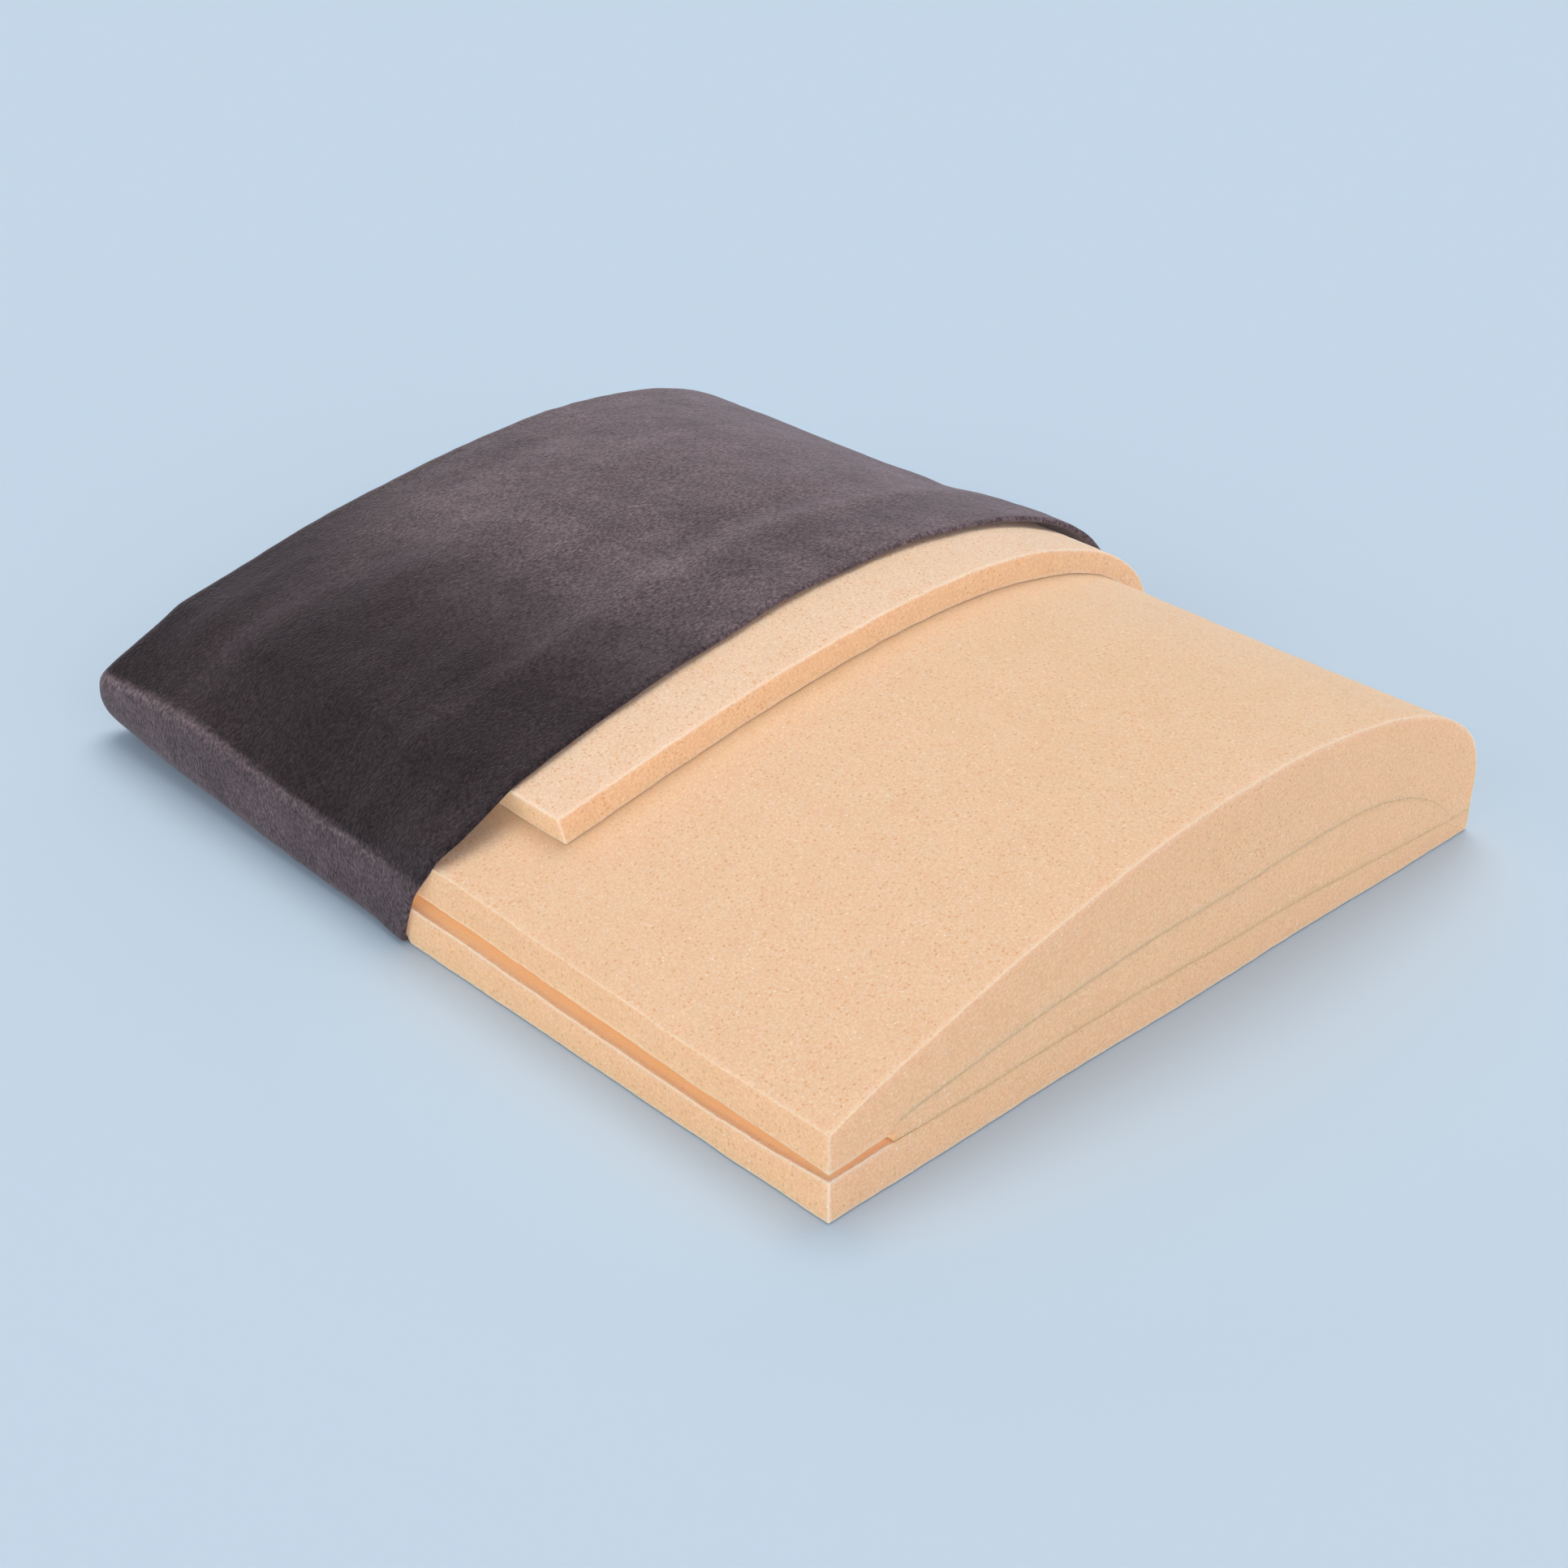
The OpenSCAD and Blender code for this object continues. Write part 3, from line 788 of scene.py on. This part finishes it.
def make_tape(name, node, upper):
    """A woven tape with a thicker cord along the edge that carries the teeth."""
    low, high = box_mm(node)
    y = np.linspace(low[1] - THIN_Y, high[1] - THIN_Y, 140)
    s = BARE_X - low[0]
    v = np.linspace(0, 1, 12)[:, None]
    z0, z1 = (low[2] - TAPE_LAP, high[2]) if upper else (high[2] + TAPE_LAP, low[2])
    z = z0 * (1 - v) + z1 * v
    bead = 0.15 * np.exp(-((v - 0.22) / 0.08) ** 2)
    yy = np.broadcast_to(y, (12, len(y)))
    zz = np.broadcast_to(z, (12, len(y)))
    wave = 0.03 * np.sin(yy / 9)
    front = np.stack([np.broadcast_to(s - 0.2 + bead, yy.shape) + wave, yy, zz], axis=-1)
    return cloth_between(name, front, front - [0.65, 0, 0])


def make_patch(name, node):
    """The tape's doubled end, a small patch that closes the slot beyond the teeth."""
    low, high = box_mm(node)
    y, z = np.meshgrid(spread(low[1] - THIN_Y, high[1] - THIN_Y, 24), spread(low[2], high[2], 12))
    across = np.abs(2 * (z - low[2]) / (high[2] - low[2]) - 1)
    front = np.stack([BARE_X - low[0] - 0.35 * across ** 4, y, z], axis=-1)
    return cloth_between(name, front, front - [0.7, 0, 0])


def make_tag(name, node):
    """A blank ribbon tag sewn into the lower edge of the far side, curling off it towards its top."""
    low, high = box_mm(node)
    s, level = np.meshgrid(spread(BARE_X - high[0], BARE_X - low[0], 34), spread(0, 1, 18))
    outline = OUTLINES[int(np.argmin(np.abs(OUTLINE_S - s.mean())))]
    wall = outline[(outline[:, 0] > CORE_W / 2) & (outline[:, 1] < 40)]
    wall = wall[np.argsort(wall[:, 1])]
    z = 0.6 + level * (high[2] - 1.2)
    y = np.interp(z, wall[:, 1], wall[:, 0]) + 0.5 + 1.1 * level ** 2
    y += 0.35 * np.sin((s - s.min()) / 5.5) * level
    front = np.stack([s, y, z], axis=-1)
    return cloth_between(name, front, front - [0, 0.35, 0])


def eased(name, node, width):
    """A small CAD metal part as a piece of its own, with its edges eased."""
    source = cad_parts[node]
    mesh = source.data.copy()
    mesh.transform(source.matrix_world)
    mesh.materials.clear()
    bm = bmesh.new()
    bm.from_mesh(mesh)
    bmesh.ops.remove_doubles(bm, verts=bm.verts, dist=1e-6)
    bmesh.ops.dissolve_limit(bm, angle_limit=math.radians(1), verts=bm.verts, edges=bm.edges)
    bm.to_mesh(mesh)
    bm.free()
    piece = new_object(name, mesh)
    bevel(piece, width, 2, by_weight=False)
    applied(piece)
    weigh_faces(piece)
    return piece


# ---- materials ----

def material(name):
    """A new node material and its principled shader."""
    mat = bpy.data.materials.new(name)
    mat.use_nodes = True
    return mat, mat.node_tree.nodes["Principled BSDF"]


class Nodes:
    """Short calls for building one material's node tree."""

    def __init__(self, mat):
        self.tree = mat.node_tree

    def add(self, kind, **values):
        node = self.tree.nodes.new(kind)
        for key, value in values.items():
            if hasattr(node, key):
                setattr(node, key, value)
            else:
                node.inputs[key.replace("_", " ")].default_value = value
        return node

    def link(self, output, target):
        self.tree.links.new(output, target)
        return self

    def place(self, stretch=(1, 1, 1), turn=(0, 0, 0)):
        """Object coordinates in metres, stretched and turned."""
        where = self.add("ShaderNodeTexCoord")
        mapping = self.add("ShaderNodeMapping")
        mapping.inputs["Scale"].default_value = stretch
        mapping.inputs["Rotation"].default_value = turn
        self.link(where.outputs["Object"], mapping.inputs["Vector"])
        return mapping.outputs["Vector"]

    def noise(self, where, scale, detail=3.0, rough=0.55):
        node = self.add("ShaderNodeTexNoise", Scale=scale, Detail=detail, Roughness=rough)
        self.link(where, node.inputs["Vector"])
        return node.outputs["Fac"]

    def cells(self, where, scale, feature="F1", randomness=1.0):
        node = self.add("ShaderNodeTexVoronoi", feature=feature, Scale=scale, Randomness=randomness)
        self.link(where, node.inputs["Vector"])
        return node

    def ramp(self, value, start, end, low=0.0, high=1.0):
        node = self.add("ShaderNodeMapRange", clamp=True)
        node.interpolation_type = "SMOOTHSTEP"
        node.inputs["From Min"].default_value = start
        node.inputs["From Max"].default_value = end
        node.inputs["To Min"].default_value = low
        node.inputs["To Max"].default_value = high
        self.link(value, node.inputs["Value"])
        return node.outputs["Result"]

    def math(self, operation, a, b):
        node = self.add("ShaderNodeMath", operation=operation)
        for socket, value in zip(node.inputs, (a, b)):
            if isinstance(value, (int, float)):
                socket.default_value = value
            else:
                self.link(value, socket)
        return node.outputs["Value"]

    def mix(self, share, a, b, mode="MIX"):
        node = self.add("ShaderNodeMix", data_type="RGBA", blend_type=mode)
        colour = [socket for socket in node.inputs if socket.type == "RGBA"]
        for socket, value in ((node.inputs[0], share), (colour[0], a), (colour[1], b)):
            if isinstance(value, (int, float)):
                socket.default_value = value
            elif isinstance(value, tuple):
                socket.default_value = (*value, 1)
            else:
                self.link(value, socket)
        return [out for out in node.outputs if out.type == "RGBA"][0]

    def bump(self, height, strength, distance, under=None):
        node = self.add("ShaderNodeBump")
        node.inputs["Strength"].default_value = strength
        node.inputs["Distance"].default_value = distance
        self.link(height, node.inputs["Height"])
        if under is not None:
            self.link(under, node.inputs["Normal"])
        return node.outputs["Normal"]


BOND_TONE = (0.76, 0.37, 0.15)
# Warm tone painted as a glow deep in the slit and as shade beside the topper.
PAINTED_GLOW_AND_SHADE_TONE = (0.88, 0.62, 0.36)
# Pale tone painted as a highlight along the cut edges.
PAINTED_EDGE_HIGHLIGHT_TONE = (0.95, 0.80, 0.68)
PORE_TONE = (0.72, 0.38, 0.18)
# The 'side' tones are painted light for upright faces.
CORE_TONES = {"body": (0.835, 0.600, 0.412), "pale": (0.86, 0.635, 0.460), "side": (0.95, 0.598, 0.355)}
TOPPER_TONES = {"body": (0.875, 0.66, 0.485), "pale": (0.895, 0.70, 0.545), "side": (0.92, 0.655, 0.40)}
SLIT_GLOW = 0.15
TOPPER_SHADE = 0.5


def foam_material(name, body, pore, pale, side, edge_highlight_strength):
    """Open-cell foam: fine cell grain, scattered pores, painted light on the cut sides, a painted pale
    highlight on the edges, painted glints, a painted glow in the slit and painted shade beside the topper.
    """
    mat, shader = material(name)
    n = Nodes(mat)
    where = n.place()
    broad = n.noise(where, 7, 2)
    patch = n.noise(where, 60, 3)
    grain = n.noise(where, 800, 3, 0.7)
    cell = n.cells(where, 900)
    open_cell = n.cells(where, 420)
    pick = n.add("ShaderNodeSeparateColor")
    n.link(open_cell.outputs["Color"], pick.inputs[0])
    hole = n.ramp(open_cell.outputs["Distance"], 0.10, 0.36, 1.0, 0.0)
    pores = n.math("MULTIPLY", hole, n.ramp(pick.outputs[0], 0.35, 0.6))
    small = n.ramp(cell.outputs["Distance"], 0.15, 0.55, 1.0, 0.0)
    # Painted glints: a few cells picked at random are painted near white.
    painted_glint_pick = n.add("ShaderNodeSeparateColor")
    n.link(cell.outputs["Color"], painted_glint_pick.inputs[0])
    painted_glint = n.math("MULTIPLY", small, n.ramp(painted_glint_pick.outputs[1], 0.96, 0.99, 0.0, 0.6))
    edge = n.add("ShaderNodeAttribute", attribute_name="cut_edge")
    bond = n.add("ShaderNodeAttribute", attribute_name="bond_edge")
    deep = n.add("ShaderNodeAttribute", attribute_name="slit_painted_glow")
    painted_side_light = n.add("ShaderNodeAttribute", attribute_name="painted_side_light")
    shade = n.add("ShaderNodeAttribute", attribute_name="topper_shade")
    colour = n.mix(n.ramp(broad, 0.3, 0.7, 0.0, 0.5), body, pale)
    # Painted light: upright faces take the warmer side tone instead of the top's.
    colour = n.mix(painted_side_light.outputs["Fac"], colour, side)
    colour = n.mix(n.ramp(patch, 0.4, 0.75, 0.0, 0.10), colour, pore)
    colour = n.mix(n.ramp(grain, 0.35, 0.65, 0.42, 0.0), colour, pore)
    colour = n.mix(n.math("MULTIPLY", small, 0.26), colour, pore)
    colour = n.mix(n.math("MULTIPLY", pores, 0.78), colour, pore)
    sharp_bond = n.math("MULTIPLY", n.math("POWER", bond.outputs["Fac"], 2.5), 0.9)
    colour = n.mix(sharp_bond, colour, BOND_TONE)
    # Painted shade: the block darkens to a warm tone beside the topper's edges.
    colour = n.mix(n.math("MULTIPLY", shade.outputs["Fac"], TOPPER_SHADE), colour, PAINTED_GLOW_AND_SHADE_TONE)
    # Painted glow: deep in the slit the colour turns to a warm light tone.
    colour = n.mix(deep.outputs["Fac"], colour, PAINTED_GLOW_AND_SHADE_TONE)
    # Painted highlight: a pale tone along the rounded cut edges.
    painted_edge_highlight = n.math("MULTIPLY", n.math("POWER", edge.outputs["Fac"], 1.6), edge_highlight_strength)
    colour = n.mix(painted_edge_highlight, colour, PAINTED_EDGE_HIGHLIGHT_TONE)
    colour = n.mix(painted_glint, colour, (1.0, 0.93, 0.84))
    n.link(colour, shader.inputs["Base Color"])
    n.link(n.ramp(grain, 0.3, 0.7, 0.8, 0.95), shader.inputs["Roughness"])
    shader.inputs["Specular IOR Level"].default_value = 0.15
    shader.inputs["Subsurface Weight"].default_value = 0.7
    shader.inputs["Subsurface Radius"].default_value = (1.0, 0.55, 0.35)
    shader.inputs["Subsurface Scale"].default_value = 0.005
    # The emission makes the slit glow though it is no lamp: painted light.
    shader.inputs["Emission Color"].default_value = (0.90, 0.56, 0.28, 1)
    n.link(n.math("MULTIPLY", deep.outputs["Fac"], SLIT_GLOW), shader.inputs["Emission Strength"])
    height = n.math("SUBTRACT", grain, n.math("MULTIPLY", pores, 1.2))
    height = n.math("SUBTRACT", height, n.math("MULTIPLY", small, 0.5))
    fine = n.bump(height, 0.30, 0.0006)
    n.link(n.bump(patch, 0.15, 0.0012, fine), shader.inputs["Normal"])
    return mat


def velour_material():
    """Charcoal velour: short dense pile, brushed in soft patches, a sheen at grazing angles, and painted
    sheen and shade mixed into its colour.
    """
    mat, shader = material("plush_velour")
    n = Nodes(mat)
    where = n.place()
    streak = n.noise(n.place((1.0, 0.7, 0.7), (0, 0, 0.35)), 580, 4, 0.75)
    tufts = n.noise(n.place((1.0, 0.7, 0.7), (0, 0, 0.35)), 820, 2, 0.6)
    brushed = n.noise(n.place((1.0, 0.25, 0.4), (0, 0, 0.12)), 22, 4, 0.6)
    cloud = n.noise(where, 16, 4, 0.6)
    sheen_paint = n.add("ShaderNodeAttribute", attribute_name="painted_sheen")
    # Painted sheen and shade: the stored per-point value lightens or darkens the base colour.
    colour = n.mix(sheen_paint.outputs["Fac"], (0.016, 0.0115, 0.0126), (0.232, 0.173, 0.188))
    colour = n.mix(n.ramp(cloud, 0.4, 0.65, 0.0, 0.12), colour, (0.085, 0.066, 0.073))
    colour = n.mix(n.ramp(brushed, 0.45, 0.75, 0.0, 0.12), colour, (0.110, 0.086, 0.096))
    colour = n.mix(1.0, colour, n.ramp(streak, 0.34, 0.68, 0.68, 1.48), "MULTIPLY")
    colour = n.mix(1.0, colour, n.ramp(tufts, 0.34, 0.62, 0.70, 1.30), "MULTIPLY")
    n.link(colour, shader.inputs["Base Color"])
    n.link(n.ramp(streak, 0.3, 0.7, 0.82, 0.95), shader.inputs["Roughness"])
    shader.inputs["Specular IOR Level"].default_value = 0.08
    shader.inputs["Sheen Weight"].default_value = 0.40
    shader.inputs["Sheen Roughness"].default_value = 0.30
    shader.inputs["Sheen Tint"].default_value = (1.0, 0.88, 0.93, 1)
    height = n.math("ADD", streak, n.math("MULTIPLY", tufts, 0.8))
    fine = n.bump(height, 0.6, 0.0009)
    n.link(n.bump(brushed, 0.2, 0.003, fine), shader.inputs["Normal"])
    return mat


def tape_material():
    """Woven polyester tape: a fine herringbone."""
    mat, shader = material("zip_tape_weave")
    n = Nodes(mat)
    warp = n.add("ShaderNodeTexWave", wave_type="BANDS", bands_direction="Y")
    warp.inputs["Scale"].default_value = 380
    n.link(n.place(turn=(0.6, 0, 0)), warp.inputs["Vector"])
    weft = n.add("ShaderNodeTexWave", wave_type="BANDS", bands_direction="Z")
    weft.inputs["Scale"].default_value = 300
    n.link(n.place(turn=(0.6, 0, 0)), weft.inputs["Vector"])
    weave = n.math("MULTIPLY", warp.outputs["Fac"], weft.outputs["Fac"])
    colour = n.mix(weave, (0.018, 0.017, 0.019), (0.06, 0.056, 0.062))
    colour = n.mix(n.ramp(n.noise(n.place(), 60), 0.3, 0.7, 0.0, 0.3), colour, (0.03, 0.028, 0.032))
    n.link(colour, shader.inputs["Base Color"])
    shader.inputs["Roughness"].default_value = 0.8
    shader.inputs["Specular IOR Level"].default_value = 0.25
    n.link(n.bump(weave, 0.5, 0.0003), shader.inputs["Normal"])
    return mat


def metal_material(name, colour, rough):
    """Die-cast metal with fine scratches and worn, brighter spots."""
    mat, shader = material(name)
    n = Nodes(mat)
    where = n.place()
    wear = n.noise(where, 900, 4, 0.6)
    scratch = n.noise(n.place((1, 0.1, 1)), 2500, 2)
    bright = tuple(min(1.0, c * 1.7) for c in colour)
    tone = n.mix(n.ramp(wear, 0.45, 0.75, 0.0, 0.6), colour, bright)
    n.link(tone, shader.inputs["Base Color"])
    n.link(n.ramp(scratch, 0.3, 0.7, rough - 0.08, rough + 0.12), shader.inputs["Roughness"])
    shader.inputs["Metallic"].default_value = 1.0
    n.link(n.bump(scratch, 0.12, 0.0001), shader.inputs["Normal"])
    return mat


def plastic_material(name):
    """Moulded dark plastic, satin, with a faint mould grain."""
    mat, shader = material(name)
    n = Nodes(mat)
    grain = n.noise(n.place(), 1400, 3)
    tone = n.mix(n.ramp(grain, 0.35, 0.7), (0.030, 0.029, 0.031), (0.062, 0.060, 0.064))
    n.link(tone, shader.inputs["Base Color"])
    n.link(n.ramp(grain, 0.3, 0.7, 0.32, 0.48), shader.inputs["Roughness"])
    n.link(n.bump(grain, 0.15, 0.0001), shader.inputs["Normal"])
    return mat


def label_material():
    """White satin ribbon with a fine crosswise weave."""
    mat, shader = material("label_satin")
    n = Nodes(mat)
    thread = n.add("ShaderNodeTexWave", wave_type="BANDS", bands_direction="X")
    thread.inputs["Scale"].default_value = 700
    n.link(n.place(), thread.inputs["Vector"])
    soil = n.noise(n.place(), 90, 3)
    colour = n.mix(thread.outputs["Fac"], (0.70, 0.69, 0.66), (0.82, 0.81, 0.78))
    colour = n.mix(n.ramp(soil, 0.4, 0.8, 0.0, 0.3), colour, (0.66, 0.64, 0.60))
    n.link(colour, shader.inputs["Base Color"])
    shader.inputs["Roughness"].default_value = 0.45
    n.link(n.bump(thread.outputs["Fac"], 0.3, 0.0001), shader.inputs["Normal"])
    return mat


def floor_material():
    mat, shader = material("pale_floor")
    shader.inputs["Base Color"].default_value = (0.549, 0.674, 0.798, 1)
    shader.inputs["Roughness"].default_value = 0.9
    shader.inputs["Specular IOR Level"].default_value = 0.0
    return mat


# ---- stage ----

def make_floor():
    mesh = bpy.data.meshes.new("floor")
    half = 12.0
    level = CAD_BOX[0][2] - 0.0005
    mesh.from_pydata([(-half, -half, level), (half, -half, level), (half, half, level), (-half, half, level)],
                     [], [(0, 1, 2, 3)])
    floor = new_object("floor", mesh, smooth=False)
    mesh.materials.append(floor_material())


def make_camera():
    corner = Vector(placed([0, 0, 0]))
    data = bpy.data.cameras.new("camera")
    data.lens = 57.84
    data.sensor_width = 36
    data.clip_end = 60
    camera = bpy.data.objects.new("camera", data)
    bpy.context.scene.collection.objects.link(camera)
    camera.location = corner + Vector((0.5012, -0.4889, 0.5896))
    target = corner + Vector((-0.2395, 0.2022, 0))
    camera.rotation_euler = (target - camera.location).to_track_quat("-Z", "Y").to_euler()
    bpy.context.scene.camera = camera


def make_light():
    """A soft overhead sun and three shadowless cards round a pale world."""
    world = bpy.data.worlds.new("studio")
    world.use_nodes = True
    sky = world.node_tree.nodes["Background"]
    sky.inputs["Color"].default_value = (0.80, 0.93, 1.08, 1)
    sky.inputs["Strength"].default_value = 0.34
    bpy.context.scene.world = world
    for name, strength, spread_deg, way, colour, shadow in (
            ("overhead", 1.58, 45, (0.20, -0.24, -1.0), (1.0, 0.92, 0.81), True),
            ("thin_edge_card", 1.52, 60, (0.15, 0.9, -0.16), (1.0, 0.98, 0.93), False),
            ("bare_end_card", 1.46, 60, (-0.9, 0.15, -0.16), (1.0, 0.96, 1.05), False),
            ("back_card", 0.60, 60, (0.7, -0.6, -0.25), (0.96, 0.97, 1.0), False)):
        data = bpy.data.lights.new(name, "SUN")
        data.energy = strength
        data.angle = math.radians(spread_deg)
        data.color = colour
        data.use_shadow = shadow
        lamp = bpy.data.objects.new(name, data)
        lamp.rotation_euler = Vector(way).to_track_quat("-Z", "Y").to_euler()
        bpy.context.scene.collection.objects.link(lamp)
    bpy.context.scene.view_settings.view_transform = "Standard"


# ---- assembly ----

def finish_piece(piece, body, mat, nodes):
    """Gives a piece its material and tells the frame what it rides on and replaces."""
    piece.data.materials.clear()
    piece.data.materials.append(mat)
    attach(piece, body)
    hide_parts(*nodes)


def main():
    make_camera()
    make_floor()
    make_light()
    foam = foam_material("core_foam", pore=PORE_TONE, edge_highlight_strength=0.55, **CORE_TONES)
    soft_foam = foam_material("topper_foam", pore=PORE_TONE, edge_highlight_strength=0.35, **TOPPER_TONES)
    velour = velour_material()
    tape = tape_material()
    steel = metal_material("zip_gunmetal", (0.20, 0.20, 0.22), 0.36)
    teeth = plastic_material("zip_teeth_plastic")
    for piece, node in ((make_base(), "base_sheet"), (make_wedge(), "wedge_insert"),
                        (make_block(), "contour_block")):
        finish_piece(piece, "core", foam, [node])
    topper = make_topper()
    finish_piece(topper, "core", soft_foam, ["topper_pad"])
    sleeve, seam = make_sleeve()
    finish_piece(sleeve, "cover", velour, [
        "top_panel", "near_side_panel", "far_side_panel", "underside_panel", "mouth_turn_in"
    ])
    for name, node, upper, flat in (("end_cloth_upper", "end_panel_upper", True, (0.375, 0.045)),
                                    ("end_cloth_lower", "end_panel_lower", False, (0.39, 0.02))):
        cloth = end_panel(name, seam, upper)
        # An even painted sheen value on the closed end's cloth.
        lay_painted_sheen(cloth, [0.30] * len(cloth.data.vertices))
        finish_piece(cloth, "cover", velour, [node])
    for name, node, upper in (("zip_tape_top", "zip_tape_upper", True),
                              ("zip_tape_bottom", "zip_tape_lower", False)):
        ribbon = make_tape(name, node, upper)
        finish_piece(ribbon, "cover", tape, [node])
    for name, node in (("zip_patch_near", "zip_end_tab_near"), ("zip_patch_far", "zip_end_tab_far")):
        patch = make_patch(name, node)
        # An even painted sheen value on the zip patches.
        lay_painted_sheen(patch, [0.22] * len(patch.data.vertices))
        finish_piece(patch, "cover", velour, [node])
    tag = make_tag("sewn_tag", "care_label")
    finish_piece(tag, "cover", label_material(), ["care_label"])
    for name, node, body, slot_name, mat, width in (
            ("teeth_upper", "zip_teeth_upper", "cover", "zip_teeth", teeth, 0.22),
            ("teeth_lower", "zip_teeth_lower", "cover", "zip_teeth", teeth, 0.22),
            ("stops_top", "zip_top_stops", "cover", "zip_metal", steel, 0.3),
            ("stop_bottom", "zip_bottom_stop", "cover", "zip_metal", steel, 0.4),
            ("slider_body", "zip_slider", "zip_slider", "zip_metal", steel, 0.3),
            ("pull_tab", "zip_pull", "zip_pull", "zip_metal", steel, 0.3)):
        finish_piece(eased(name, node, width), body, mat, [node])


main()
